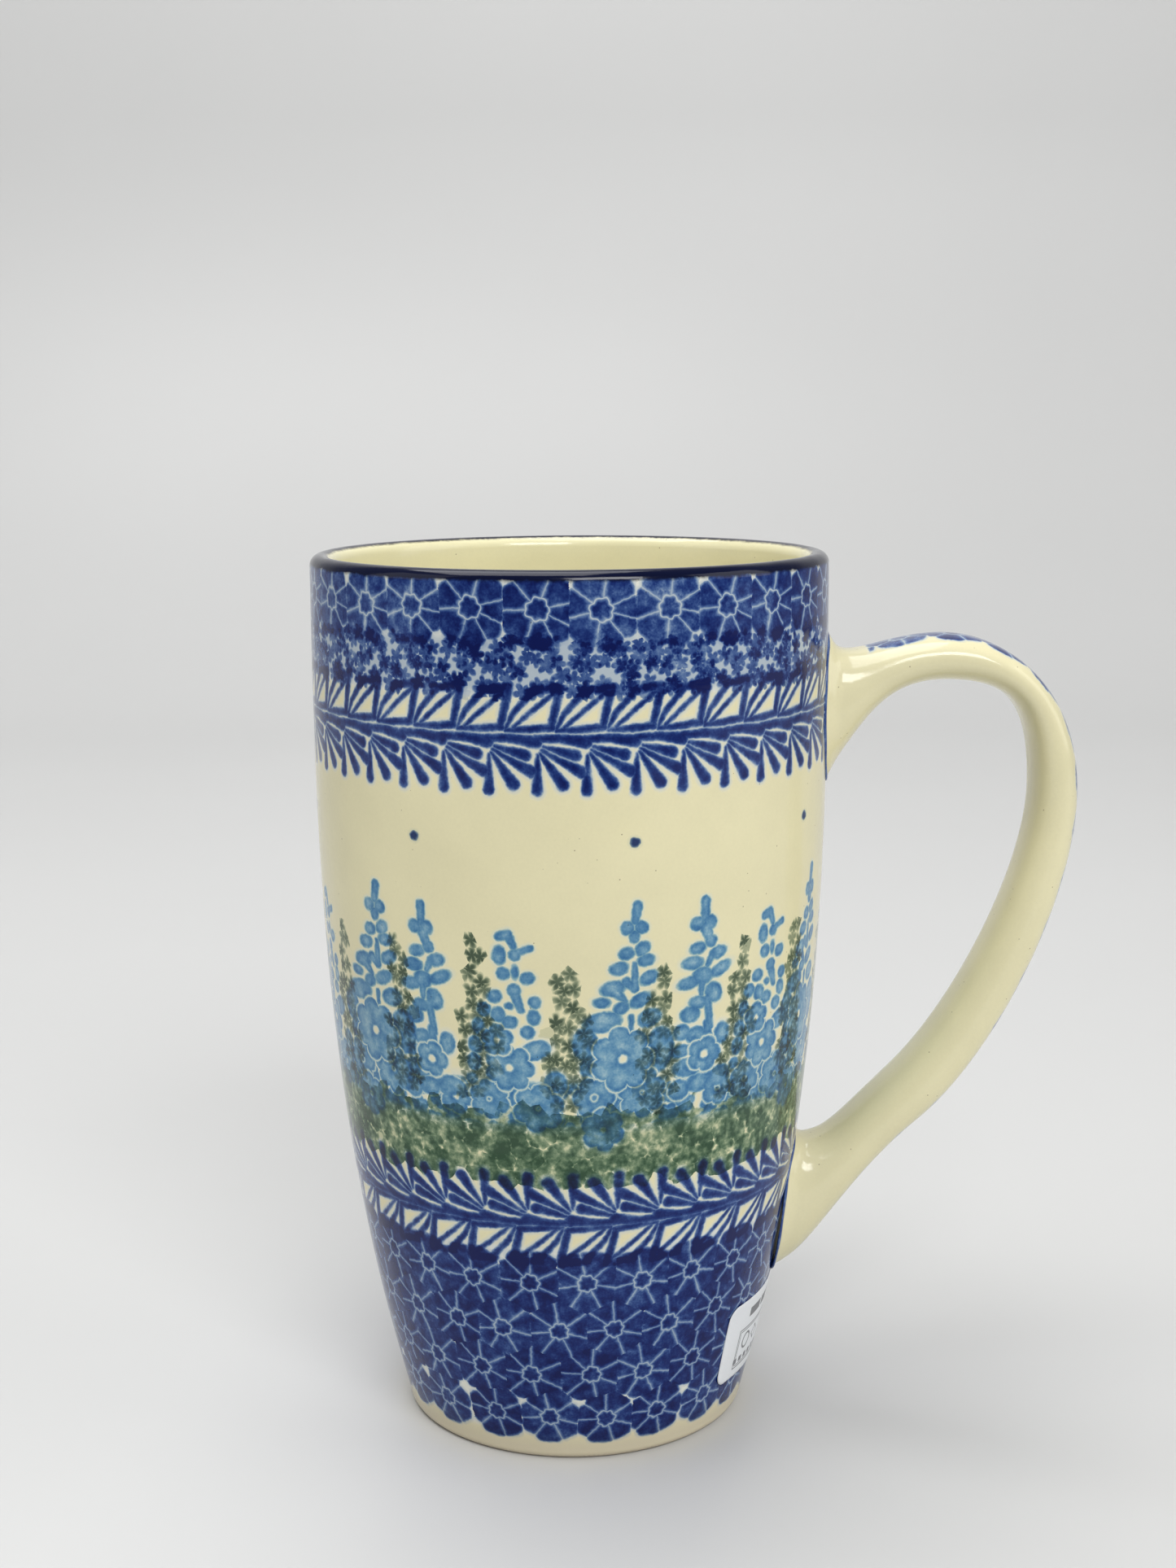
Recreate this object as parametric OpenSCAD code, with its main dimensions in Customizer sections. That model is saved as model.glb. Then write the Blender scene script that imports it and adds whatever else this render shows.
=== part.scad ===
// Tall stoneware mug: a thrown cup, a pulled handle, the two pads of slip
// that lute the handle to the cup, and a small paper label.
// The origin is on the cup's axis, in the plane that the foot rests on.
// The handle points along +X.

/* [Cup] */
// Height of the cup, foot to lip
cup_h = 146; // [135:1:155]
// Outer radius at the rim
rim_r = 42.6; // [41:0.1:44]
// Outer radius where the wall reaches the foot
foot_r = 28.5; // [27:0.1:30]
// Height at which the wall has become upright
upright_h = 130; // [126:1:134]
// How late the flare of the wall sets in
flare_power = 2.55; // [2.2:0.05:2.9]
// Wall thickness at the rim
rim_wall = 3.8; // [3:0.1:5]
// Wall thickness just above the floor
low_wall = 5; // [4:0.1:6]
// Thickness of the floor
floor_t = 6; // [4:0.5:8]
// Radius of the curve between the floor and the wall inside
floor_round = 9; // [4:0.5:12]

/* [Foot] */
// Width of the foot ring on the ground
foot_ring_w = 4; // [3:0.5:6]
// Depth of the hollow inside the foot ring
foot_hollow = 2; // [1:0.5:3]
// Rounding of the foot's outer edge
foot_round = 1.6; // [0.8:0.1:2]

/* [Handle] */
// Width of the handle's strap
handle_w = 15; // [12:0.5:18]
// Extra width where the handle spreads on the wall
joint_spread = 3; // [1:0.5:4]
// Roundness of the strap's edges, 1 for an ellipse and less for squarer
edge_power = 0.75; // [0.6:0.05:1]

/* [Slip joints] */
// Thickness of the slip between handle and wall
slip_t = 0.4; // [0.3:0.1:0.8]
// How far the slip shows round the handle
slip_margin = 0.6; // [0.3:0.1:1]

/* [Paper label] */
// Length of the label round the wall
label_w = 26; // [20:1:30]
// Height of the label
label_h = 14.5; // [11:0.5:16]
// Radius of the label's corners
label_corner = 2; // [1:0.5:3]
// Thickness of the label
label_t = 0.15; // [0.1:0.05:0.3]
// Height of the label's middle
label_z = 15.5; // [14:0.5:18]
// Direction that the label faces, in degrees from the handle
label_turn = -18; // [-24:1:-14]

/* [Hidden] */
cream = [0.86, 0.82, 0.66];
glaze_blue = [0.15, 0.2, 0.47];
label_white = [0.93, 0.94, 0.94];
floor_top = foot_hollow + floor_t;
wall_bands = 32;
lip_steps = 8;
corner_steps = 6;
// The handle's edges: at each station the distance from the cup's axis, the
// height, the heading in degrees and the reach of the curve on either side
outer_edge = [
    [43, 131, -49, 5], [62, 132, 0, 10], [84.5, 105, -90, 18.5],
    [59, 49, -140, 16], [35.5, 23.5, -159, 5.5]
];
inner_edge = [
    [42, 108.5, 52, 10.5], [62, 124.5, 0, 11], [77, 106, -90, 14],
    [54.5, 57, -135, 15.5], [38, 45, -172, 6]
];
root_depth = 6;
rings_per_span = 10;
strap_sides = 20;
// Height that divides the upper joint from the lower one
joint_split_z = 78;
label_reach = 60;

// Outer radius of the wall: upright near the rim, flaring in to the foot
function wall_r(z) =
    rim_r - (rim_r - foot_r) * pow(max(0, 1 - z / upright_h), flare_power);

// Inner radius: the wall thickens evenly from the rim down
function inside_r(z) =
    wall_r(z) - rim_wall - (low_wall - rim_wall) * (1 - z / cup_h);

// Points of the outer wall at a given distance outside the glaze
function wall_line(z0, z1, gap = 0) = [
    for (i = [0:wall_bands])
        let (z = z0 + (z1 - z0) * i / wall_bands) [wall_r(z) + gap, z]
];

function arc(centre, rx, rz, from, to, steps) = [
    for (i = [0:steps])
        let (a = from + (to - from) * i / steps) centre + [rx * cos(a), rz * sin(a)]
];

module cup_body() {
    lip_r = rim_wall / 2;
    foot_turn = arc([wall_r(foot_round) - foot_round, foot_round],
        foot_round, foot_round, -90, -15, corner_steps);
    lip_turn = arc([rim_r - lip_r, cup_h - lip_r], lip_r, lip_r, 15, 165, lip_steps);
    corner_z = floor_top + floor_round;
    inside = [
        for (i = [0:wall_bands])
            let (z = cup_h - lip_r + (corner_z - cup_h + lip_r) * i / wall_bands)
                [inside_r(z), z]
    ];
    floor_turn = arc([inside_r(corner_z) - floor_round, corner_z],
        floor_round, floor_round, -15, -90, corner_steps);
    hollow_r = wall_r(0) - foot_round - foot_ring_w;
    color(cream)
        rotate_extrude($fn = 96)
            polygon(concat(
                [[0, foot_hollow], [hollow_r - foot_hollow, foot_hollow], [hollow_r, 0]],
                foot_turn,
                wall_line(foot_round, cup_h - lip_r),
                lip_turn,
                inside,
                floor_turn,
                [[0, floor_top]]
            ));
}

// The space that the cup fills, grown outwards by a gap: it trims whatever
// is stuck on the wall
module cup_space(gap) {
    rotate_extrude($fn = 96)
        polygon(concat(
            [[0, foot_round]],
            wall_line(foot_round, cup_h - rim_wall / 2, gap),
            [[0, cup_h - rim_wall / 2]]
        ));
}

function heading(s) = [cos(s[2]), sin(s[2])];
function place(s) = [s[0], s[1]];

// Cubic curve between two stations of an edge, at t from 0 to 1
function edge_point(a, b, t) =
    place(a) * pow(1 - t, 3)
    + (place(a) + a[3] * heading(a)) * 3 * pow(1 - t, 2) * t
    + (place(b) - b[3] * heading(b)) * 3 * (1 - t) * t * t
    + place(b) * pow(t, 3);

// A whole edge, with a straight root at each end that reaches into the wall
function edge_line(edge) =
    let (spans = len(edge) - 1)
    concat(
        [place(edge[0]) - [root_depth, 0]],
        [
            for (k = [0:spans - 1])
                for (i = [0:rings_per_span - 1])
                    edge_point(edge[k], edge[k + 1], i / rings_per_span)
        ],
        [place(edge[spans]), place(edge[spans]) - [root_depth, 0]]
    );

function signed_pow(v, p) = sign(v) * pow(abs(v), p);

// The strap widens smoothly over the last few rings at each end
function spread(i, last) =
    let (from_end = min(i, last - i) / rings_per_span)
    joint_spread * pow(max(0, 1 - from_end), 2);

// One ring of the strap between matching points of the two edges
function strap_ring(outer, inner, half_w, grow) =
    let (
        mid = (outer + inner) / 2,
        half = (outer - inner) / 2,
        swell = 1 + grow / norm(half)
    )
    [
        for (j = [0:strap_sides - 1])
            let (
                a = 360 * j / strap_sides,
                p = mid + half * swell * signed_pow(sin(a), 0.9),
                y = (half_w + grow) * signed_pow(cos(a), edge_power)
            )
                [p[0], y, p[1]]
    ];

module strap(grow = 0) {
    outer = edge_line(outer_edge);
    inner = edge_line(inner_edge);
    last = len(outer) - 1;
    points = [
        for (i = [0:last])
            each strap_ring(outer[i], inner[i], (handle_w + spread(i, last)) / 2, grow)
    ];
    sides = [
        for (i = [0:last - 1])
            for (j = [0:strap_sides - 1])
                let (k = (j + 1) % strap_sides)
                    [
                        i * strap_sides + j, i * strap_sides + k,
                        (i + 1) * strap_sides + k, (i + 1) * strap_sides + j
                    ]
    ];
    start_cap = [[for (j = [strap_sides - 1:-1:0]) j]];
    end_cap = [[for (j = [0:strap_sides - 1]) last * strap_sides + j]];
    polyhedron(points, concat(sides, start_cap, end_cap), convexity = 6);
}

module handle() {
    color(cream)
        difference() {
            strap();
            cup_space(slip_t);
        }
}

// A pad of slip as thick as the gap between the wall and the handle's end
module slip_pad(z0, z1) {
    color(glaze_blue)
        intersection() {
            strap(slip_margin);
            difference() {
                cup_space(slip_t);
                cup_space(0);
            }
            translate([0, -rim_r, z0])
                cube([2 * rim_r, 2 * rim_r, z1 - z0]);
        }
}

module upper_slip_joint() {
    slip_pad(joint_split_z, cup_h);
}

module lower_slip_joint() {
    slip_pad(0, joint_split_z);
}

module rounded_rectangle(w, h, r) {
    hull()
        for (x = [-1, 1])
            for (y = [-1, 1])
                translate([x * (w / 2 - r), y * (h / 2 - r)])
                    circle(r, $fn = 32);
}

module paper_label() {
    color(label_white)
        intersection() {
            difference() {
                cup_space(label_t);
                cup_space(0);
            }
            translate([0, 0, label_z])
                rotate([90, 0, 90 + label_turn])
                    linear_extrude(label_reach)
                        rounded_rectangle(label_w, label_h, label_corner);
        }
}

cup_body();
handle();
upper_slip_joint();
lower_slip_joint();
paper_label();
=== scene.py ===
"""The looks of a tall stoneware mug with sponge-stamped decoration under a glossy clear glaze.

The cup, the handle, the two seams where the handle is luted on and the paper label are surfaces
worked out with numpy. The stamped and brushed decoration is worked out in the materials, from each
point's angle round the cup and height above the foot, in millimetres.
"""

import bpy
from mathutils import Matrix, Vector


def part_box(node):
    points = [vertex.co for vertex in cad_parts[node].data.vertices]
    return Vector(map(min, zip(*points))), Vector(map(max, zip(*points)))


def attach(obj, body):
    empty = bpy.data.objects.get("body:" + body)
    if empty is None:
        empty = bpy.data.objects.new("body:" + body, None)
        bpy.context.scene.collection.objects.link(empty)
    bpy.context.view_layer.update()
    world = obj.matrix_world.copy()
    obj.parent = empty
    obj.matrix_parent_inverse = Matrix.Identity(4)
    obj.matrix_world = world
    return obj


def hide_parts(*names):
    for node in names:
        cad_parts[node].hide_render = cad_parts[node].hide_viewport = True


bl_info = {
    "name": "Stamped stoneware mug",
    "version": (1, 0, 0),
    "blender": (4, 5, 0),
    "location": "View3D > Sidebar > Mug",
    "description": "Builds the glazed cup, handle, seams and label round the mug's frame",
    "category": "Object",
}

import math
from functools import reduce

import bpy
import numpy as np
from bpy.props import FloatProperty, FloatVectorProperty, PointerProperty
from mathutils import Matrix, Vector

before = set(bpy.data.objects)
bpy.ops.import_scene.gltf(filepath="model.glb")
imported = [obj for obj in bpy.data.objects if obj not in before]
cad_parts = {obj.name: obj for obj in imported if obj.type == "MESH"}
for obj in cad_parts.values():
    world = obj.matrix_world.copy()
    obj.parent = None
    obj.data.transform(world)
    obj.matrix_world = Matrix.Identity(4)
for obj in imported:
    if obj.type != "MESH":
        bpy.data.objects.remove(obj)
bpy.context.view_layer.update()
CUP_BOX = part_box("cup_body")
RIM_RADIUS = CUP_BOX[1][1]
CUP_HEIGHT = CUP_BOX[1][2]
MM = 0.001
TURN = 2 * math.pi
DEGREE = TURN / 360

# Heights in mm where one of the cup's glazes gives way to the next: foot, flowers, spikes and rim.
FLOWERS_FROM, SPIKES_FROM, RIM_FROM = 55.5, 77.0, 108.0
# Heights in mm of the decoration's bands and rows, from the lip down to the foot.
RIM_BAND = 144.45
RIM_ROW, RIM_DAISIES, RIM_PITCH = 140.5, 27, 9.91
FLORETS_FROM, FLORETS_TO = 127.8, 136.4
DOT_ROW = 105.4
SPRIG_TOPS, SPRIGS = 87.2, 18
GROUND_FROM, GROUND_TO = 50.7, 61.6
FIELD_FROM, FIELD_TO = 3.3, 38.9
FIELD_ROW, FIELD_PITCH = 33.3, 8.37
# Radii in mm along which the upper and the lower border are measured out.
UPPER_BORDER, LOWER_BORDER = 42.6, 37.4


# ---------------------------------------------------------------- settings

def length(name, description, default, low=0.0):
    """A distance in metres that the panel shows."""
    return FloatProperty(name=name, description=description, default=default, min=low, subtype="DISTANCE",
                         unit="LENGTH", precision=5)


def plain(name, description, default, low=0.0):
    """A plain number that the panel shows."""
    return FloatProperty(name=name, description=description, default=default, min=low)


def heading(name, description, degrees):
    """An angle, given in degrees, that the panel shows."""
    return FloatProperty(name=name, description=description, default=math.radians(degrees), subtype="ANGLE")


def colour(name, description, default):
    """A plain colour that the panel shows."""
    return FloatVectorProperty(name=name, description=description, default=default, size=3, min=0, max=1,
                               subtype="COLOR")


class MugCupSettings(bpy.types.PropertyGroup):
    """Sizes of the thrown cup."""
    rim_radius: length("Rim radius", "Outer radius at the rim", RIM_RADIUS)
    height: length("Height", "Foot to lip", CUP_HEIGHT)
    foot_radius: length("Foot radius", "Outer radius where the wall would meet the ground", 28.5 * MM)
    upright_height: length("Upright from", "Height at which the wall has become upright", 130 * MM)
    flare_power: plain("Flare", "How late the flare sets in", 2.55, 1)
    rim_wall: length("Wall at the rim", "Thickness of the wall at the rim", 3.8 * MM)
    low_wall: length("Wall at the floor", "Thickness of the wall above the floor", 5 * MM)
    floor: length("Floor", "Thickness of the floor", 6 * MM)
    floor_round: length("Floor curve", "Radius between floor and wall inside", 9 * MM)
    foot_ring: length("Foot ring", "Width of the foot ring on the ground", 4 * MM)
    foot_hollow: length("Foot hollow", "Depth of the hollow inside the foot ring", 2 * MM)
    foot_round: length("Foot edge", "Rounding of the foot's outer edge", 1.6 * MM)
    unevenness: length("Unevenness", "How far hand work leaves the wall in from a true round", 0.1 * MM)


class MugHandleSettings(bpy.types.PropertyGroup):
    """Sizes of the pulled handle and of the seams that join it to the cup."""
    width: length("Width", "Width of the strap", 15 * MM)
    spread: length("Spread", "Extra width where the handle spreads on the wall", 3 * MM)
    fillet: length("Fillet", "Extra width of the quick flare right at the wall", 1.2 * MM)
    root: length("Root", "How deep the handle's ends go into the wall", 1.5 * MM)
    seam: length("Seam", "Width of the smoothed slip round each end", 0.9 * MM)


class MugLabelSettings(bpy.types.PropertyGroup):
    """Sizes of the paper label and its place on the wall."""
    width: length("Width", "Length of the label round the wall", 26 * MM)
    turn: heading("Turn", "Angle of the label's middle from the front", 72)
    corner: length("Corner", "Radius of the label's corners", 2 * MM)
    thickness: length("Thickness", "Thickness of the paper", 0.12 * MM)
    margin: length("Margin", "How far the paper stays inside the frame's label", 0.02 * MM)


class MugGlazeSettings(bpy.types.PropertyGroup):
    """Colours of the clay, the clear glaze and the paper, and how each stain colours what is under it."""
    cream: colour("Cream", "The clear glaze over the clay", (0.79, 0.735, 0.47))
    inside: colour("Inside", "The glaze inside, where it is thicker", (0.81, 0.765, 0.5))
    white: colour("White", "The same where it lies next to a stain", (0.752, 0.757, 0.69))
    cobalt: colour("Cobalt", "What one coat of cobalt lets through", (0.034, 0.082, 0.325))
    sky: colour("Sky blue", "What one coat of light blue lets through", (0.165, 0.385, 0.66))
    green: colour("Green", "What one coat of the ground's green lets through", (0.185, 0.3, 0.27))
    olive: colour("Olive", "What one coat of the sprigs' grey-green lets through", (0.25, 0.325, 0.31))
    rim_blue: colour("Rim blue", "The banded rim", (0.001, 0.003, 0.022))
    # bare_clay is also the colour that the foot's glaze runs towards above the ring, which is partly painted
    # shade.
    bare_clay: colour("Bare clay", "The unglazed foot ring", (0.6, 0.53, 0.4))
    paper: colour("Paper", "The label", (0.84, 0.86, 0.88))
    print_grey: colour("Print", "The label's generic marks", (0.1, 0.1, 0.11))
    roughness: plain("Glaze roughness", "Roughness of the clear glaze", 0.11)


class MugStageSettings(bpy.types.PropertyGroup):
    """Camera, floor and lights."""
    camera_distance: length("Camera distance", "From the cup's axis", 361.98 * MM)
    camera_height: length("Camera height", "Above the floor", 171 * MM)
    camera_pitch: heading("Pitch", "How far the camera looks down", 10.03)
    camera_turn: heading("Turn", "How far the camera looks towards the handle", 0.447)
    camera_roll: heading("Roll", "How far the camera is rolled", -0.346)
    lens: plain("Lens", "Focal length in mm", 50.32, 1)
    floor_colour: colour("Floor", "Pale floor and backdrop", (0.62, 0.62, 0.612))


def settings():
    return bpy.context.scene.mug


# ---------------------------------------------------------------- shapes

def wall_radius(z):
    """Outer radius at height z: the rim's radius, less a flare that grows as a power of the depth below the
    height at which the wall is upright."""
    cup = settings().cup
    depth = np.maximum(0, 1 - np.asarray(z) / cup.upright_height)
    return cup.rim_radius - (cup.rim_radius - cup.foot_radius) * depth ** cup.flare_power


def inside_radius(z):
    """Inner radius at height z: the wall thickens evenly from the rim down."""
    cup = settings().cup
    return wall_radius(z) - cup.rim_wall - (cup.low_wall - cup.rim_wall) * (1 - z / cup.height)


def arc(centre, radius, start, end, count):
    """Points of a circular arc between two angles in degrees, as rows of radius and height."""
    a = np.radians(np.linspace(start, end, count))
    return np.stack([centre[0] + radius * np.cos(a), centre[1] + radius * np.sin(a)], -1)


def round_axis(a, r, z):
    """Points at angle a round the axis, from the front towards the handle, at radius r and height z."""
    return np.stack([r * np.sin(a), -r * np.cos(a), np.broadcast_to(z, np.shape(r))], -1)


def unit(vectors):
    """Vectors brought to length 1."""
    return vectors / np.linalg.norm(vectors, axis=-1, keepdims=True)


def walked(points):
    """The distance walked from the first point of a row to each of its points."""
    steps = np.linalg.norm(np.diff(points, axis=-2), axis=-1)
    return np.concatenate([steps[..., :1] * 0, np.cumsum(steps, -1)], -1)


def surface(name, points, uv=None, poles=(None, None), zones=None):
    """A mesh from a grid of points, rows by columns, whose columns close into a ring. Each pole, where
    given, is one point that closes the first or the last row with a fan. zones gives each row of faces its
    material's number, the fans' first and last. uv has one column more than points, so that it can end
    where the ring closes. The ring is turned over if the volume inside it comes out below nothing."""
    ring = np.roll(points, -1, 1)
    volume = np.einsum("ijk,ijk->", points[:-1], np.cross(ring[:-1], points[1:]))
    if volume < 0:
        points = points[:, ::-1]
        uv = None if uv is None else uv[:, ::-1]
    rows, cols = points.shape[:2]
    i = np.arange(rows - 1)[:, None] * cols
    j = np.arange(cols)
    k = (j + 1) % cols
    quads = np.stack([i + j, i + k, i + cols + k, i + cols + j], -1).reshape(-1, 4)
    co = points.reshape(-1, 3)
    fans = []
    for pole, row in ((poles[0], 0), (poles[1], rows - 1)):
        if pole is None:
            continue
        centre = np.full(cols, len(co))
        co = np.vstack([co, pole])
        edge = [row * cols + j, row * cols + k]
        fans.append(np.stack((edge[::-1] if row == 0 else edge) + [centre], -1))
    corners = np.concatenate([quads.ravel()] + [f.ravel() for f in fans])
    sizes = np.concatenate([np.full(len(quads), 4)] + [np.full(len(f), 3) for f in fans])
    mesh = bpy.data.meshes.new(name)
    mesh.vertices.add(len(co))
    mesh.vertices.foreach_set("co", co.ravel())
    mesh.loops.add(len(corners))
    mesh.loops.foreach_set("vertex_index", corners.astype(np.int32))
    mesh.polygons.add(len(sizes))
    mesh.polygons.foreach_set("loop_start", (np.cumsum(sizes) - sizes).astype(np.int32))
    mesh.polygons.foreach_set("use_smooth", np.ones(len(sizes), bool))
    if zones is not None:
        faces = [np.repeat(zones[1:-1], cols), np.full(cols, zones[0]), np.full(cols, zones[-1])]
        mesh.polygons.foreach_set("material_index", np.concatenate(faces).astype(np.int32))
    if uv is not None:
        flat = np.stack([uv[:-1, :-1], uv[:-1, 1:], uv[1:, 1:], uv[1:, :-1]], 2).reshape(-1, 2)
        caps = [np.stack([uv[r, :-1], uv[r, 1:], uv[r, :-1] * 0], 1).reshape(-1, 2) for r in (0, -1)]
        layer = mesh.uv_layers.new(name="surface")
        layer.data.foreach_set("uv", np.vstack([flat] + caps[:len(fans)]).ravel())
    mesh.update(calc_edges=True)
    mesh.validate()
    piece = bpy.data.objects.new(name, mesh)
    bpy.context.collection.objects.link(piece)
    return piece


# ---------------------------------------------------------------- numbers and colours in materials

class Wire:
    """A value that changes over a surface. Arithmetic on a number adds Math nodes to its tree."""

    def __init__(self, socket):
        self.socket = socket

    def __add__(self, other):
        return calc("ADD", self, other)

    def __sub__(self, other):
        return calc("SUBTRACT", self, other)

    def __rsub__(self, other):
        return calc("SUBTRACT", other, self)

    def __mul__(self, other):
        return calc("MULTIPLY", self, other)

    def __truediv__(self, other):
        return calc("DIVIDE", self, other)

    def __abs__(self):
        return calc("ABSOLUTE", self)

    __radd__ = __add__
    __rmul__ = __mul__


def plug(slot, value):
    if isinstance(value, Wire):
        slot.id_data.links.new(value.socket, slot)
    elif slot.type == "RGBA" and len(value) == 3:
        slot.default_value = (*value, 1)
    else:
        slot.default_value = value


def node(tree, kind, values=(), out=0, **options):
    """A new node with its options set and its inputs plugged, by order or by name; returns one output."""
    made = tree.nodes.new(kind)
    for key, value in options.items():
        setattr(made, key, value)
    for key, value in (values.items() if isinstance(values, dict) else enumerate(values)):
        plug(made.inputs[key], value)
    return Wire(made.outputs[out])


def tree_of(*values):
    """The node tree of the first wire among some values."""
    return next(v.socket.id_data for v in values if isinstance(v, Wire))


def calc(operation, *values, clamp=False):
    return node(tree_of(*values), "ShaderNodeMath", values, operation=operation, use_clamp=clamp)


def most(*values):
    return reduce(lambda a, b: calc("MAXIMUM", a, b), values)


def least(*values):
    return reduce(lambda a, b: calc("MINIMUM", a, b), values)


def sine(angle):
    return calc("SINE", angle)


def line(value, slope, start):
    """The value times slope, plus start."""
    return calc("MULTIPLY_ADD", value, slope, start)


def soft(inside, blur):
    """Turns a distance inside an edge into a mask that runs from 0 to 1 over the blur's width."""
    return calc("MULTIPLY_ADD", inside, 1 / blur, 0.5, clamp=True)


def vector(x, y, z=0.0):
    return node(tree_of(x, y, z), "ShaderNodeCombineXYZ", (x, y, z))


def vector_calc(operation, *values):
    """Arithmetic on vectors or colours. A length, distance or dot product comes out as a number."""
    out = int(operation in ("LENGTH", "DISTANCE", "DOT_PRODUCT"))
    return node(tree_of(*values), "ShaderNodeVectorMath", values, out, operation=operation)


def scaled(value, factor):
    """A vector or colour times a number."""
    values = {0: value, "Scale": factor}
    return node(tree_of(value, factor), "ShaderNodeVectorMath", values, operation="SCALE")


def split(value):
    made = tree_of(value).nodes.new("ShaderNodeSeparateXYZ")
    plug(made.inputs[0], value)
    return [Wire(s) for s in made.outputs]


def blend(factor, under, over, mode="MIX"):
    """Mixes two colours by a mask."""
    made = tree_of(factor).nodes.new("ShaderNodeMix")
    made.data_type = "RGBA"
    made.blend_type = mode
    plug(made.inputs[0], factor)
    plug(made.inputs[6], under)
    plug(made.inputs[7], over)
    return Wire(made.outputs[2])


def noise(tree, point, scale, detail=2.0, out=0):
    """Smooth noise whose lumps measure about 1 / scale in the point's unit."""
    return node(tree, "ShaderNodeTexNoise", {"Vector": point, "Scale": scale, "Detail": detail}, out=out)


# The kind of each group socket that isn't a number.
SOCKETS = {"Point": "Vector", "Place": "Vector", "Centre": "Vector", "Under": "Color", "Coat": "Color",
           "Cream": "Color", "Colour": "Color"}


def effect(name, inputs, outputs):
    """Makes a function that builds a shader node group once and places it in any tree. inputs and outputs
    name its sockets. The decorated function gets the group's tree and inputs, and returns its outputs."""
    inputs, outputs = inputs.split(), outputs.split()

    def build(fill):
        group = bpy.data.node_groups.new(name, "ShaderNodeTree")
        for way, labels in (("INPUT", inputs), ("OUTPUT", outputs)):
            for label in labels:
                kind = "NodeSocket" + SOCKETS.get(label, "Float")
                group.interface.new_socket(label, in_out=way, socket_type=kind)
        entry = group.nodes.new("NodeGroupInput")
        found = fill(group, *[Wire(entry.outputs[label]) for label in inputs])
        end = group.nodes.new("NodeGroupOutput")
        for label, value in zip(outputs, (found,) if isinstance(found, Wire) else found):
            plug(end.inputs[label], value)
        return group

    def decorate(fill):
        def place(tree, *values):
            made = tree.nodes.new("ShaderNodeGroup")
            made.node_tree = bpy.data.node_groups.get(name) or build(fill)
            for label, value in zip(inputs, values):
                plug(made.inputs[label], value)
            wires = [Wire(made.outputs[label]) for label in outputs]
            return wires if len(wires) > 1 else wires[0]
        return place
    return decorate


# ---------------------------------------------------------------- stamps and brush marks

@effect("Draw", "X Y", "A B C")
def draw_lots(tree, x, y):
    """Three steady random numbers from -0.5 to 0.5 for a pair of whole numbers."""
    drawn = node(tree, "ShaderNodeTexWhiteNoise", {"Vector": vector(x, y)}, out=1, noise_dimensions="2D")
    return [c - 0.5 for c in split(drawn)]


@effect("Wall position", "Wobble", "Angle Height Radius Point")
def wall_position(tree, wobble):
    """Angle round the cup in degrees, 0 facing the front and growing towards the handle, with the height,
    the distance from the axis and the point, all in mm. The wobble, in mm, makes stamped edges ragged, as
    they are in the glaze, and leaves the point alone."""
    point = scaled(node(tree, "ShaderNodeTexCoord", out=3), 1 / MM)
    shake = vector_calc("SUBTRACT", noise(tree, point, 1.3, 2.0, out=1), (0.5, 0.5, 0.5))
    x, y, z = split(vector_calc("ADD", point, scaled(shake, wobble)))
    return calc("ARCTAN2", x, y * -1) * (1 / DEGREE), z, reach(x, y), point


def point_on(tree):
    """The point in mm."""
    return wall_position(tree, 0.0)[3]


def seam_behind(angle):
    """The angle from -270 to 90 degrees: what doesn't close into a ring is cut behind the handle."""
    return calc("WRAP", angle, 90.0, -270.0)


def reach(x, y):
    """Distance of a point from the origin of x and y."""
    return vector_calc("LENGTH", vector(x, y))


def polar(x, y):
    """Distance and direction of a point from the origin of x and y."""
    return reach(x, y), calc("ARCTAN2", y, x)


def daisy_stamp(name, shift, bends):
    """A stamp with a round middle, a pale ring and seven petals cut by pale lines. shift and bends space
    the lines unevenly: each bend is how much and where, for one and two waves round the stamp."""
    @effect(name, "Place Size Middle Line", "Inside")
    def stamp(tree, place, size, middle, pale):
        """How far inside the print a point lies, in mm. The place's third number turns it a little."""
        x, y, lot = split(place)
        rho, phi = polar(x, y)
        phi = phi + lot * 0.35
        turn = phi + shift
        for waves, (amount, where) in enumerate(bends, 1):
            turn = turn + sine(phi * waves + where) * amount
        cut = abs(sine(turn * 3.5))
        edge = size * (calc("POWER", cut, 0.5) * 0.14 + 0.86) + sine(phi * 9 + 1) * 0.12
        ring = middle * (sine(phi * 7 + 0.6) * 0.09 + sine(phi * 3 + lot * 9) * 0.06 + 1)
        petal = least(cut * rho * 0.286 - pale, edge - rho, rho - ring - pale * 2.6)
        return most(petal, ring - rho)
    return stamp


rim_daisy = daisy_stamp("Rim daisy", 2.977, [(0.226, 0.4), (0.132, 0.878)])
field_daisy = daisy_stamp("Field daisy", 2.124, [(0.114, -2.979), (0.069, 0.803)])


def daisy_places(at, spacing, up, count):
    """Where a point lies from the nearest two of a row of evenly spaced, slightly misplaced stamps, each
    with the stamp's lot. at is the place along the row, in stamps, and count is how many go round."""
    nearest = calc("ROUND", at)
    found = []
    for index in (nearest, nearest + calc("SIGN", at - nearest)):
        dx, dy, lot = draw_lots(tree_of(at), calc("FLOORED_MODULO", index, count), count)
        found.append(((at - index) * spacing + dx * 0.9, up + dy * 0.7, lot))
    return found


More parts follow.
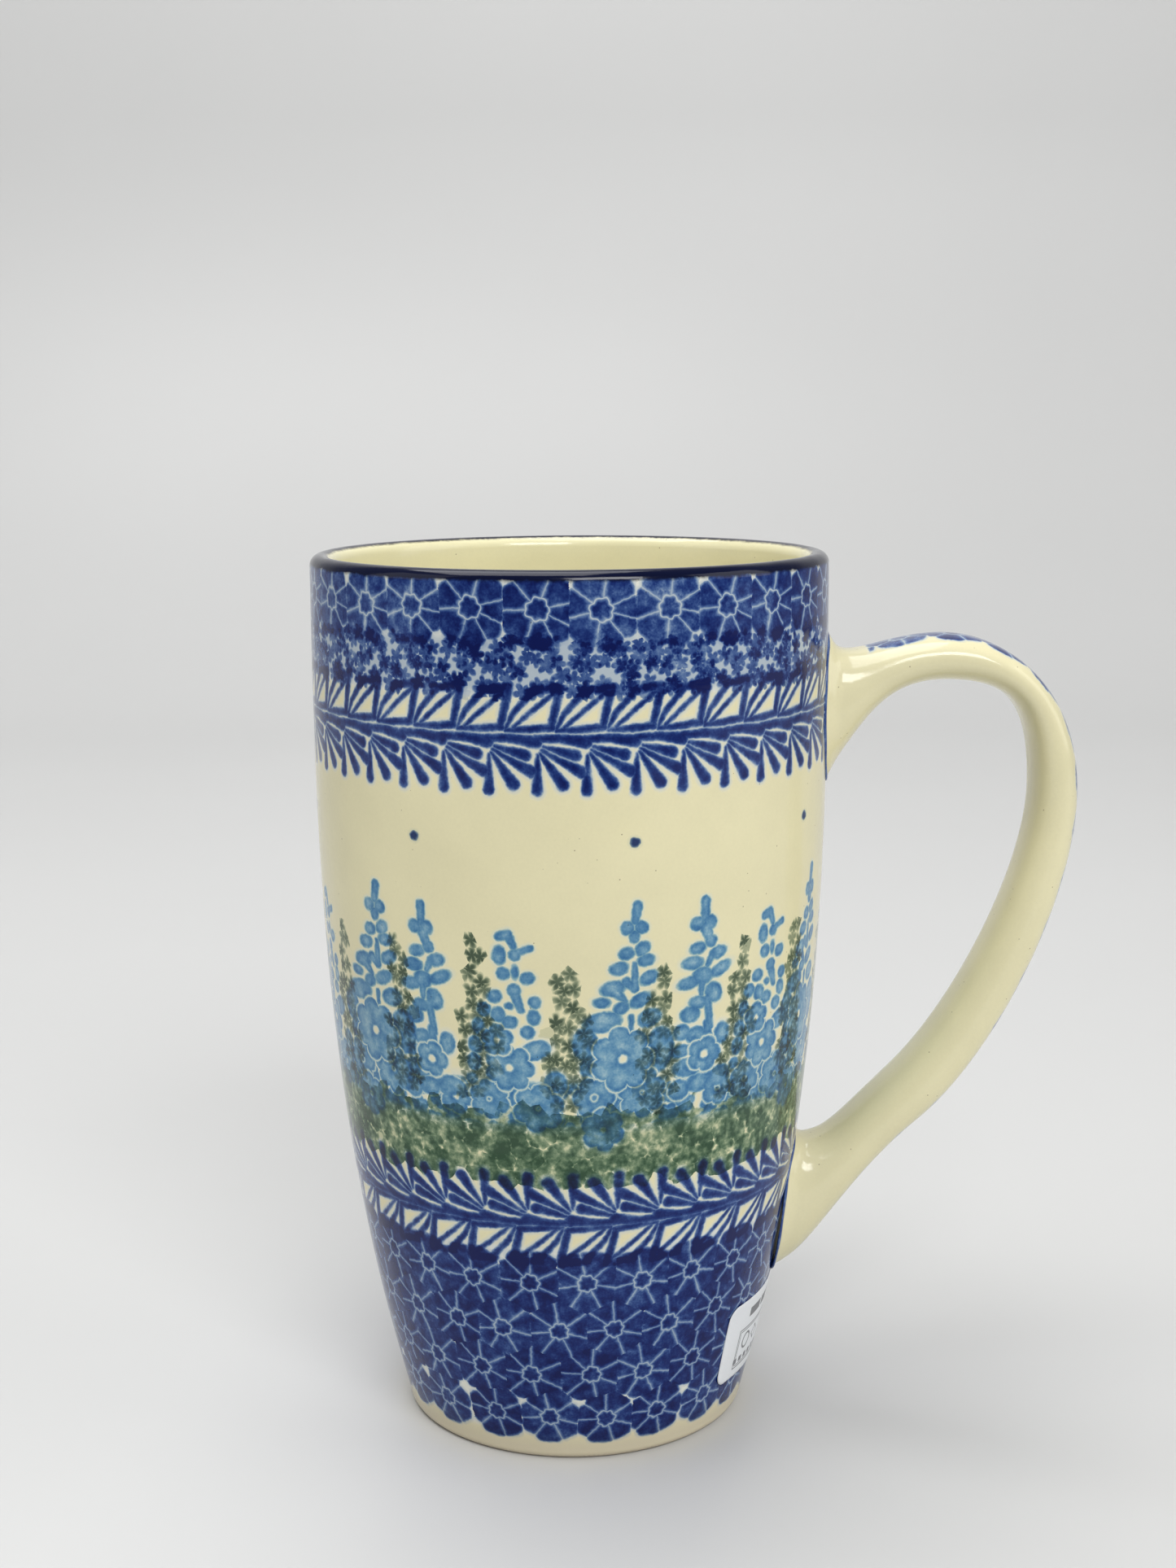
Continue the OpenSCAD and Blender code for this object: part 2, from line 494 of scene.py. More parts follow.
def daisy_print(stamp, places, size, middle, pale, strength):
    """Daisies stamped side by side: each covers the points nearer to it than to the next, and a faint line
    is left here and there where two meet. pale is half the width of the lines between petals. Gives how far
    inside a point lies and the density of the print."""
    tree = tree_of(strength)
    best = after = rho = None
    for place in places:
        away = reach(*place[:2]) + (strength - 1) * place[2] * 1.5
        if best is None:
            best, rho = vector(*place), away
            continue
        closer = calc("LESS_THAN", away, rho)
        choice = {0: closer, 4: best, 5: vector(*place)}
        best = node(tree, "ShaderNodeMix", choice, out=1, data_type="VECTOR")
        farther = most(rho, away)
        after = farther if after is None else least(after, farther)
        rho = least(rho, away)
    inside = stamp(tree, best, size, middle, pale)
    join = soft((rho - after) * 0.5 + 0.08 - (strength - 1) * 0.6, 0.3) * 0.35
    full = soft(inside - 0.08, 0.6) * (strength + split(best)[2] * 0.35 + 0.1)
    return inside, soft(inside + 0.4, 0.8) * 0.12 + full * (1 - join)


def repeat(angle, at, count, lean=0.0, swell=0.0):
    """The angle from the nearest of a ring of marks, and the mark's number. lean and swell space the marks
    a little unevenly, as a hand does."""
    away = angle - at
    if lean or swell:
        radians = away * DEGREE
        away = away + sine(radians) * lean + (1 - calc("COSINE", radians)) * swell
    number = calc("ROUND", away * (count / 360))
    return away - number * (360 / count), calc("FLOORED_MODULO", number, count)


def stroke(x, y, start, end, widths):
    """How far inside a tapered brush mark a point lies: the mark runs straight from start to end, and its
    half width goes evenly from the first of widths to the second."""
    run = (end[0] - start[0], end[1] - start[1])
    span = run[0] ** 2 + run[1] ** 2
    away = vector_calc("SUBTRACT", vector(x, y), (*start, 0))
    along = vector_calc("DOT_PRODUCT", away, (run[0] / span, run[1] / span, 0))
    along = calc("ADD", along, 0.0, clamp=True)
    off = vector_calc("DISTANCE", away, scaled((*run, 0), along))
    return line(along, widths[1] - widths[0], widths[0]) - off


def border(along, up, pitch, marks):
    """How far inside any of a border's brush marks a point lies. Each mark is repeated at the pitch."""
    found = []
    for start, end, widths in marks:
        low = min(start[0] - widths[0], end[0] - widths[1]) - 0.2
        found.append(stroke(calc("WRAP", along, pitch + low, low), up, start, end, widths))
    return most(*found)


# Marks of one leaf, in mm from its lower left corner, and of one fan, from its knot: start, end and half
# widths.
LEAF_MARKS = [
    ((0.0, 0.0), (3.6, 0.15), (0.4, 0.6)),
    ((3.4, 0.15), (6.9, 0.45), (0.6, 0.66)),
    ((6.8, 0.5), (8.0, 5.8), (0.62, 0.74)),
    ((3.6, 5.9), (8.0, 6.3), (0.58, 0.8)),
    ((0.0, 0.3), (1.1, 2.5), (0.36, 0.5)),
    ((1.1, 2.5), (4.1, 5.8), (0.5, 0.66)),
    ((1.1, 0.4), (4.3, 3.2), (0.36, 0.44)),
    ((4.3, 3.2), (7.6, 5.8), (0.44, 0.42)),
]
FAN_MARKS = [
    ((-0.6, 0.5), (3.6, 0.55), (0.66, 0.74)),
    ((3.4, 0.5), (6.9, 0.0), (0.74, 1.05)),
    ((0.6, -0.7), (5.3, -2.0), (0.34, 0.95)),
    ((0.3, -1.2), (3.4, -3.0), (0.34, 0.6)),
    ((3.4, -3.0), (6.2, -4.5), (0.6, 1.0)),
    ((0.1, -1.7), (3.4, -6.4), (0.32, 1.02)),
    ((-0.3, -2.0), (-0.45, -7.3), (0.3, 0.92)),
]


@effect("Leaves", "Along Up Pitch", "Inside")
def leaves(tree, along, up, pitch):
    """A row of cream leaves outlined and ribbed with the brush; along and up start at a leaf's corner."""
    return border(along, up, pitch, LEAF_MARKS)


@effect("Fans", "Along Up Pitch", "Inside")
def fans(tree, along, up, pitch):
    """A stem with a knot at each pitch, and a fan of drops hanging from each knot."""
    return border(along, up, pitch, FAN_MARKS)


@effect("Florets", "X Y Cell Size Petals Deep", "Inside Centre Draw")
def florets(tree, x, y, cell, size, petals, deep):
    """Small petalled prints scattered one to a cell, all sizes in mm. Gives how far inside the nearest one
    a point lies, where that one's centre is, and a random number from 0 to 1 for it."""
    at = vector(x / cell, y / cell)
    made = tree.nodes.new("ShaderNodeTexVoronoi")
    made.voronoi_dimensions = "2D"
    plug(made.inputs["Vector"], at)
    plug(made.inputs["Scale"], 1.0)
    plug(made.inputs["Randomness"], 0.8)
    home, draw = Wire(made.outputs["Position"]), split(Wire(made.outputs["Color"]))
    dx, dy, _ = split(vector_calc("SUBTRACT", at, home))
    rho, phi = polar(dx * cell, dy * cell)
    wave = abs(calc("COSINE", phi * petals * 0.5 + draw[0] * 6))
    return size * (1 - deep + deep * wave) - rho, scaled(home, cell), draw[1]


# ---------------------------------------------------------------- the garden's flowers

# Each spike's marks in mm from its top, y down: stems are start, end and half widths; petals are centre,
# half sizes and turn in degrees; flowers are centre, radius, the radius of the pale eye, and petals.
TALL_SPIKE = {
    "stems": [
        ((0.4, 0.3), (0.0, 2.6), (0.75, 0.6)), ((0.0, 9.4), (0.0, 13.2), (0.3, 0.65)),
        ((-1.4, 12.2), (0.0, 13.5), (0.7, 0.3)), ((-3.2, 13.5), (-1.5, 15.2), (0.9, 0.3)),
        ((-0.5, 17.8), (-0.5, 20.4), (0.4, 0.2)),
    ],
    "petals": [
        ((-1.3, 3.7), (1.0, 0.95), 0), ((1.1, 3.7), (1.0, 0.95), 0), ((-0.1, 5.1), (0.8, 0.9), 0),
        ((-1.4, 7.7), (1.15, 0.9), 10), ((1.3, 7.0), (1.2, 0.95), 35), ((-2.6, 10.0), (1.4, 0.95), 10),
        ((1.9, 8.9), (1.35, 0.85), 5), ((-3.6, 13.1), (1.9, 1.1), 10), ((2.4, 11.7), (1.5, 0.95), 25),
        ((-5.4, 15.3), (1.2, 0.7), -5), ((-2.2, 16.3), (1.25, 0.9), 20),
        ((1.0, 15.2), (1.75, 0.95), 25), ((-5.2, 18.4), (2.9, 1.5), 8), ((2.6, 18.1), (1.9, 1.3), 15),
        ((-8.0, 21.8), (1.9, 2.4), 0), ((4.4, 23.4), (2.5, 3.5), -10), ((-6.6, 25.6), (2.0, 2.2), 0),
    ],
    "flowers": [
        ((-6.4, 30.6), 3.5, 0.75, 6), ((1.6, 30.2), 4.2, 0.5, 7), ((-4.8, 36.0), 3.6, 0.5, 6),
        ((-1.8, 24.5), 5.3, 0.8, 7),
    ],
}
MIDDLE_SPIKE = {
    "stems": [
        ((0.0, 0.3), (0.0, 3.0), (0.7, 0.6)), ((0.2, 4.6), (0.8, 6.4), (0.9, 0.6)),
        ((0.6, 10.6), (1.5, 8.9), (0.35, 0.6)), ((-0.3, 12.6), (-0.3, 15.1), (0.7, 0.3)),
        ((0.8, 16.0), (1.4, 20.6), (0.6, 0.45)), ((0.9, 20.0), (1.4, 28.5), (0.6, 1.0)),
    ],
    "petals": [
        ((-1.3, 3.8), (1.05, 1.0), 0), ((0.9, 3.8), (1.0, 1.05), 0), ((-1.1, 7.7), (1.25, 0.85), 10),
        ((1.1, 6.8), (0.9, 0.9), 0), ((-1.9, 10.0), (1.6, 0.95), 0), ((2.4, 8.8), (1.35, 0.9), 15),
        ((-0.2, 12.2), (1.6, 1.3), 0), ((-2.4, 13.1), (1.7, 0.9), 10), ((2.9, 11.5), (1.8, 0.9), 25),
        ((1.8, 15.1), (1.3, 1.6), 30), ((-0.8, 16.4), (1.4, 0.95), 0), ((-2.1, 18.2), (1.5, 1.2), 0),
        ((-3.4, 20.9), (1.2, 1.2), 0), ((-1.0, 21.6), (1.5, 1.2), 10), ((-3.4, 24.0), (1.5, 0.9), 10),
        ((-2.1, 26.8), (2.3, 1.4), 0), ((-3.4, 30.3), (1.6, 1.6), 0), ((3.6, 22.0), (1.2, 1.6), 0),
        ((3.4, 29.0), (1.9, 1.5), 20), ((-0.3, 29.6), (1.9, 1.4), 0),
    ],
    "flowers": [
        ((0.6, 25.0), 2.9, 0.75, 5),
    ],
}
CURLED_SPIKE = {
    "stems": [
        ((-0.8, 0.9), (0.5, 0.5), (0.6, 0.7)), ((0.5, 0.5), (1.4, 2.4), (0.7, 0.4)),
        ((1.9, 3.3), (3.9, 2.6), (0.4, 0.45)), ((1.5, 10.2), (2.3, 12.4), (0.7, 0.45)),
    ],
    "petals": [
        ((-0.9, 3.8), (0.95, 1.35), 0), ((1.5, 3.7), (0.8, 0.8), 0), ((-0.3, 6.7), (0.95, 0.9), 0),
        ((1.5, 6.4), (0.45, 0.85), 0), ((3.4, 7.3), (1.0, 0.85), 20), ((-1.8, 10.4), (1.05, 0.9), 10),
        ((1.3, 9.3), (0.95, 0.95), 0), ((0.5, 11.8), (0.55, 0.45), 0), ((4.4, 11.1), (0.85, 0.85), 0),
        ((-3.5, 12.6), (1.0, 1.0), 0), ((-1.3, 13.3), (1.05, 1.15), 0), ((0.5, 14.4), (1.1, 0.9), 0),
        ((4.2, 13.5), (0.9, 1.1), 0), ((-4.5, 15.4), (0.9, 1.2), 0), ((3.2, 15.9), (1.0, 0.95), 0),
        ((-5.1, 18.4), (1.1, 1.2), 0), ((4.4, 18.8), (2.1, 1.4), 20), ((-5.4, 21.2), (1.0, 1.3), 0),
        ((-5.9, 24.0), (0.8, 0.8), 0), ((0.4, 26.6), (1.4, 1.2), 0), ((7.2, 24.2), (1.6, 1.9), 0),
    ],
    "flowers": [
        ((-8.8, 27.4), 2.9, 0.6, 5), ((4.5, 28.3), 4.0, 0.5, 6), ((-3.2, 27.2), 3.3, 0.55, 6),
        ((0.2, 21.8), 3.9, 0.7, 7), ((-1.6, 17.4), 2.6, 0.55, 5),
    ],
}


def spike_stamp(name, marks, above, below):
    """The print of one spike, of which only the marks between two distances from its top are worked out."""
    def near(centre, size):
        return centre[1] - size < below and centre[1] + size > above

    @effect(name, "X Down", "Inside")
    def stamp(tree, x, down):
        """How far inside any mark of the spike a point lies, in mm. A flower keeps a pale line round it."""
        total = -9.0
        for start, end, widths in marks["stems"]:
            if near(start, 1) or near(end, 1):
                total = most(stroke(x, down, start, end, widths) + 0.1, total)
        place = vector(x, down)
        for centre, size, turn in marks["petals"]:
            if near(centre, size[1]):
                laid = (place, (*centre, 0), (0, 0, -math.radians(turn)), (*size, 1))
                local = node(tree, "ShaderNodeMapping", laid, vector_type="TEXTURE")
                out = vector_calc("LENGTH", local)
                total = most(line(out, -min(size), min(size) + 0.13), total)
        for number, (centre, size, eye, petals) in enumerate(marks["flowers"]):
            if near(centre, size):
                rho, phi = polar(x - centre[0], down - centre[1])
                wave = abs(calc("COSINE", phi * petals * 0.5 + number))
                inside = calc("POWER", wave, 0.6) * (size * 0.24) + size * 0.76 - rho
                total = most(least(total, -0.4 - inside), least(inside, rho - eye))
        return total
    return stamp


# The three spikes of a group: marks, the angle of the first, the height of its top, and how unevenly the
# copies stand. Each is worked out in an upper and a lower part that meet at SPIKES_FROM.
SPIKES = [("Tall", TALL_SPIKE, 13.1, 96.4, 4.4, 8.2), ("Middle", MIDDLE_SPIKE, 29.0, 95.3, -2.9, 0.0),
          ("Curled", CURLED_SPIKE, 46.9, 91.8, -1.3, 0.0)]
SPIKE_STAMPS = {}
for spike, spike_marks, _, spike_top, _, _ in SPIKES:
    split_down = spike_top - SPIKES_FROM
    SPIKE_STAMPS[spike, True] = spike_stamp(spike + " spike top", spike_marks, -9, split_down + 1)
    SPIKE_STAMPS[spike, False] = spike_stamp(spike + " spike foot", spike_marks, split_down - 1, 99)


# ---------------------------------------------------------------- glazes and stains

@effect("Stain", "Under Density Coat", "Colour")
def stain_coats(tree, under, density, coat):
    """A stain seen through the clear glaze. Every coat lets through the same share of the light, so a thin
    one is pale and a heavy one is deep: under times coat to the power of density."""
    return vector_calc("MULTIPLY", under, vector_calc("POWER", coat, vector(density, density, density)))


def stain(under, density, coat):
    """The stain's coats over a colour, no heavier than the glaze can hold."""
    return stain_coats(tree_of(under), under, least(density, 1.9), coat)


def coat_of(inside, strength, blur=0.45):
    """The density of a print or stroke: full inside, soft at its edge, with a little bleeding past it."""
    return soft(inside + 0.3, 0.7) * 0.07 + soft(inside, blur) * strength


@effect("Cream glaze", "Point Cream", "Colour")
def cream_glaze(tree, point, cream):
    """Clear glaze over pale clay: it clouds slowly where it pooled, and has a few iron specks."""
    cloud = noise(tree, point, 0.06, 3.0)
    grain = noise(tree, point, 2.2, 1.0)
    tone = line(cloud, 0.16, 0.9) + (grain - 0.5) * 0.05
    speck = node(tree, "ShaderNodeTexVoronoi", {"Vector": point, "Scale": 0.42})
    return blend(soft(0.045 - speck, 0.02) * 0.7, scaled(cream, tone), (0.2, 0.15, 0.09))


def cream_ground(tree, point, near):
    """The cream glaze that the stamps go on. It loses its yellow where a stain is near: near is in mm, and
    above nothing inside the stain."""
    glaze = settings().glaze
    whiter = tuple(w / c for w, c in zip(glaze.white, glaze.cream))
    cream = cream_glaze(tree, point, glaze.cream)
    return blend(soft(near + 0.35, 0.9) * 0.9, cream, whiter, "MULTIPLY")


@effect("Pigment", "Point", "Strength")
def pigment(tree, point):
    """How strongly a sponge or brush left its stain, mostly from 0.5 to 1.5: cloudy, with a fine grain."""
    return noise(tree, point, 0.55, 2.0) * 2.1 + line(noise(tree, point, 3.0, 1.0), 0.7, -0.4)


@effect("Green ground", "Angle Height Point", "Density")
def green_ground(tree, angle, height, point):
    """The density of the sponged ground under the flowers. Its edges are those of whole tufts, so they are
    ragged, and inside it is mottled by the sponge's pores and lighter where the sponge was dry."""
    inside, centre, draw = florets(tree, seam_behind(angle) * 0.7, height, 2.4, 2.1, 5.0, 0.3)
    at = split(centre)[1]
    wave = noise(tree, point, 0.11, 1.0)
    top = least(GROUND_TO + wave * 3 - at, at - GROUND_FROM) * 4
    cover = soft(least(inside, top), 0.7)
    pores = noise(tree, point, 0.85, 3.0)
    patch = noise(tree, point, 0.22, 2.0)
    mottle = pores * 3.6 + patch * 3.4 + (draw - 0.5) * 0.5
    return cover * most(mottle - 2.32, 0.2)


def ground_over(under, angle, height, point, shape):
    """The green ground over a colour. Less of it takes where shape, the blue stamped first, is."""
    density = green_ground(tree_of(under), angle, height, point)
    return stain(under, density * (1 - soft(shape, 0.5) * 0.45), settings().glaze.green)


def new_material(name):
    """A new material and its tree."""
    material = bpy.data.materials.new(name)
    material.use_nodes = True
    return material, material.node_tree


def finish_shader(tree, colour, roughness, height=None, strength=1.0, depth=0.0):
    """Gives the shader its colour, its roughness and a bump, whose depth is in metres."""
    shader = tree.nodes["Principled BSDF"]
    plug(shader.inputs["Base Color"], colour)
    plug(shader.inputs["Roughness"], roughness)
    if height is not None:
        bump = {"Height": height, "Strength": strength, "Distance": depth}
        plug(shader.inputs["Normal"], node(tree, "ShaderNodeBump", bump))
    return shader


def glazed(name, paint, shine=0.5):
    """A glossy glazed material. paint gets the tree, and returns the colour and the point in mm."""
    material, tree = new_material(name)
    colour, point = paint(tree)
    slow = noise(tree, point, 0.1, 1.0)
    roughness = line(slow, 0.1, settings().glaze.roughness - 0.04)
    ripple = slow + noise(tree, point, 1.1, 1.0) * 0.05
    shader = finish_shader(tree, colour, roughness, ripple, 0.6, 0.4 * MM)
    shader.inputs["IOR"].default_value = 1.45
    shader.inputs["Specular IOR Level"].default_value = shine
    return material


def border_shape(angle, z, radius, leaf, fan, turned=False):
    """How far inside the leaves and fans a point lies. leaf and fan give the angle of a corner or a knot,
    its height and how many go round. turned puts the fans on top, as with the stamp upside down."""
    side = -1 if turned else 1
    found = []
    for stamp, (at, height, count) in ((leaves, leaf), (fans, fan)):
        along = (angle - at) * (DEGREE * side) * radius
        found.append(stamp(tree_of(angle), along, (z - height) * side, radius * (TURN / count)))
    return most(*found) - 0.04


def border_density(shape, strength):
    """The brush leaves more stain along the middle of a stroke than at its edge."""
    return coat_of(shape, strength * 0.75 + soft(shape - 0.3, 0.6) * 0.6, 0.36)


def paint_upper(tree):
    """Rim band, daisies, sponged florets, leaves and fans."""
    glaze = settings().glaze
    angle, z, _, point = wall_position(tree, 0.36)
    strength = pigment(tree, point)
    along = seam_behind(angle) * (DEGREE * UPPER_BORDER)
    press = draw_lots(tree, calc("FLOOR", angle * (RIM_DAISIES / 720) + 0.25), 3.0)[0] * 0.5
    row = angle * (RIM_DAISIES / 360) - 0.487
    places = daisy_places(row, RIM_PITCH, z - RIM_ROW, RIM_DAISIES)
    density = daisy_print(rim_daisy, places, 6.0, 1.5, 0.17, strength + press)[1]
    for shift, cell, size in ((0.0, 2.9, 1.5), (5.3, 2.4, 1.25)):
        inside, centre, _ = florets(tree, along + shift, z + shift, cell, size, 5.0, 0.5)
        at = split(centre)[1] - shift
        inside = least(inside, least(at - FLORETS_FROM, FLORETS_TO - at) * 3)
        density = density + soft(inside, 0.4) * (strength + press) * 0.66
    density = density + soft(least(z - FLORETS_FROM, FLORETS_TO - z) - 0.4, 1.6) * 0.16
    shape = border_shape(angle, z, UPPER_BORDER, (-2.75, 122.5, 35), (3.76, 120.75, 36))
    density = density + border_density(shape, strength)
    colour = stain(cream_ground(tree, point, most(shape, z - FLORETS_FROM + 0.3)), density, glaze.cobalt)
    band = soft(z - RIM_BAND + (strength - 1) * 0.25, 0.5)
    return blend(band, colour, glaze.rim_blue), point


def paint_garden(tree, upper):
    """Blue flower spikes and green sprigs, with a ring of dots above and the green ground's top below."""
    glaze = settings().glaze
    angle, z, radius, point = wall_position(tree, 0.45)
    strength = pigment(tree, point)
    turn = radius * DEGREE
    found = []
    for name, _, at, top, lean, swell in SPIKES:
        away, number = repeat(angle, at, 6, lean, swell)
        lift = draw_lots(tree, number, at)[0] * 1.4
        found.append(SPIKE_STAMPS[name, upper](tree, away * turn, top + lift - z))
    shape = most(*found)
    if upper:
        colour = cream_ground(tree, point, shape - 0.2)
        dots = repeat(angle, 13.0, 8, lean=-3.4)[0]
        colour = stain(colour, coat_of(0.66 - reach(dots * turn, z - DOT_ROW), 1.2), glaze.cobalt)
    else:
        dabs = florets(tree, seam_behind(angle) * 0.7, z, 3.4, 1.75, 5.0, 0.25)[0]
        dabs = least(dabs, least(67.5 - z, z - 60.8) * 0.4)
        shape = most(shape, least(dabs, -0.35 - shape))
        colour = cream_ground(tree, point, shape)
    edge = soft(0.5 - shape, 0.8) * 0.5
    once = coat_of(shape, most(strength * 0.9 - 0.05 + edge, 0.35), 0.4)
    twice = soft(least(found[0], most(found[1], found[2])), 0.4) * 0.5
    colour = stain(colour, once + twice, glaze.sky)
    away, number = repeat(angle, -0.8, SPRIGS)
    drop, lean, _ = draw_lots(tree, number, 7.0)
    down = SPRIG_TOPS + drop * 3.6 - z
    x = away * turn + lean * 1.2
    inside, centre, draw = florets(tree, x + number * 40, down, 2.1, 1.7, 5.0, 0.5)
    cx, cy, _ = split(centre)
    wide = least(line(cy, 0.18, 1.1), 3.3) - abs(cx - number * 40)
    inside = least(inside, least(wide, cy + 1.2, 24.5 - cy) * 6)
    heart = soft(inside - 0.6, 1.0) * (draw * 1.1 + strength * 0.8)
    density = soft(inside, 0.6) * (heart + 0.45) * (1 - soft(shape, 0.5) * 0.35)
    colour = stain(colour, density, glaze.olive)
    return (colour if upper else ground_over(colour, angle, z, point, shape)), point


def paint_lower(tree):
    """The ground's lower edge, the border upside down, four rows of daisies and a plain foot that darkens
    towards the ground: partly thinner glaze over the clay, partly painted shade.
    """
    glaze = settings().glaze
    angle, z, radius, point = wall_position(tree, 0.36)
    strength = pigment(tree, point)
    row = (FIELD_ROW - z) / FIELD_PITCH
    nearest = least(most(calc("ROUND", row), 0.0), 3.0)
    low_row = soft(row - 2.5, 0.2)
    places = []
    # Each row is turned against the one above it, and has fewer daisies as the wall narrows: 25, 24, 23, 21.
    for number in (nearest, nearest + calc("SIGN", row - nearest)):
        steps = [calc("GREATER_THAN", number, s + 0.5) for s in range(3)]
        count = 25 - steps[0] - steps[1] - steps[2] * 2
        phase = -0.174 + steps[0] * 0.444 - steps[1] * 0.513 - steps[2] * 0.257
        real = soft(least(number + 0.5, 3.5 - number), 0.1)
        up = (row - number) * -FIELD_PITCH + (1 - real) * 40
        places += daisy_places(angle * count / 360 + phase, radius * TURN / count, up, count)
    inside, density = daisy_print(field_daisy, places, 6.1 - low_row, 1.25, 0.15, strength + 0.25)
    field = least(FIELD_TO - z, z - FIELD_FROM)
    density = density * soft(field, 0.8)
    shape = border_shape(angle, z, LOWER_BORDER, (-2.77, 43.3, 31), (-0.83, 44.6, 34), turned=True)
    density = density + border_density(shape, strength)
    stained = most(shape, least(field - 0.3, inside), least(FIELD_TO + 0.6 - z, z - 5))
    colour = cream_ground(tree, point, stained)
    # Partly painted shade: from 6.3 mm down, the colour runs towards the clay's, three quarters of the way
    # by 2.1 mm. This stands partly for the thinner glaze at the foot and partly for the shade near the
    # floor.
    colour = blend(soft(4.2 - z, 4.2) * 0.75, colour, glaze.bare_clay)
    colour = ground_over(colour, angle, z, point, shape)
    return stain(colour, density, glaze.cobalt), point


def paint_inside(tree):
    """The glaze inside, with the rim's stain bleeding a little way in."""
    glaze = settings().glaze
    _, z, _, point = wall_position(tree, 0.3)
    band = soft(z - 145.75 + noise(tree, point, 0.2, 1.0) * 0.2, 0.35)
    return blend(band, cream_glaze(tree, point, glaze.inside), glaze.rim_blue), point


def paint_handle(tree):
    """Cream glaze with a row of daisies stamped along the back of the strap."""
    point = point_on(tree)
    strength = pigment(tree, point)
    along, across, _ = split(scaled(node(tree, "ShaderNodeUVMap", uv_map="surface"), 1 / MM))
    ragged = (noise(tree, point, 1.2, 2.0) - 0.5) * 0.8
    places = daisy_places(along * (1 / 8.8) + 0.35, 8.8, across + ragged, 40)
    inside, density = daisy_print(rim_daisy, places, 5.3, 1.45, 0.17, strength)
    ends = least(along - 9 + ragged, 158 - along)
    colour = cream_ground(tree, point, least(inside, ends))
    return stain(colour, density * soft(ends, 0.8), settings().glaze.cobalt), point


def paint_seam(tree):
    """The line of blue brushed over the slip where the handle meets the wall."""
    glaze = settings().glaze
    point = point_on(tree)
    colour = cream_glaze(tree, point, glaze.white)
    return stain(colour, pigment(tree, point) * 0.6 + 0.2, glaze.cobalt), point


def clay_material():
    """Bare fired clay, matt and slightly gritty."""
    material, tree = new_material("bare_clay")
    grit = noise(tree, point_on(tree), 2.0, 3.0)
    colour = scaled(settings().glaze.bare_clay, line(grit, 0.5, 0.72))
    finish_shader(tree, colour, line(grit, 0.2, 0.7), grit, 0.5, 0.2 * MM)
    return material


def block(x, y, centre, half):
    """How far inside a box a point lies."""
    return least(half[0] - abs(x - centre[0]), half[1] - abs(y - centre[1]))


# The label's plain bars in mm: centre and half size.
BARS = [((-3.6, 4.2), (2.3, 0.85)), ((0.9, 4.2), (1.6, 0.85)), ((4.8, 4.2), (1.7, 0.85)),
        ((9.6, 0.6), (2.2, 0.22)), ((9.6, -0.8), (2.2, 0.22)), ((9.1, -2.2), (1.7, 0.22))]


def paper_material():
    """Coated white paper with a printed double frame round a ring, a diamond and dashes, and plain bars."""
    glaze = settings().glaze
    material, tree = new_material("label_paper")
    u, v, _ = split(scaled(node(tree, "ShaderNodeUVMap", uv_map="surface"), 1 / MM))
    panel = block(u, v, (-1.5, -2.0), (7.0, 3.7))
    diamond = 1.3 - abs(u + 1.2) - abs(v + 1.1)
    ring = reach(u + 5.2, v + 1.1) - 1.35
    dashes = block(calc("WRAP", u, 1.0, -1.0), v, (0.0, -4.3), (0.6, 0.5))
    double_frame = most(0.12 - abs(panel - 0.15), 0.1 - abs(panel - 0.6))
    marks = most(double_frame, 0.2 - abs(ring), 0.2 - abs(diamond), dashes)
    marks = most(least(marks, panel + 0.3), *[block(u, v, centre, half) for centre, half in BARS])
    fibre = noise(tree, point_on(tree), 4.0, 2.0)
    white = scaled(glaze.paper, line(fibre, 0.06, 0.96))
    colour = blend(soft(marks, 0.08) * 0.85, white, glaze.print_grey)
    finish_shader(tree, colour, line(fibre, 0.2, 0.4), fibre, 0.2, 0.05 * MM)
    return material


# ---------------------------------------------------------------- pieces

def finish_piece(piece, materials, slot, *nodes):
    for material in materials:
        piece.data.materials.append(material)
    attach(piece, "root")
    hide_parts(*nodes)


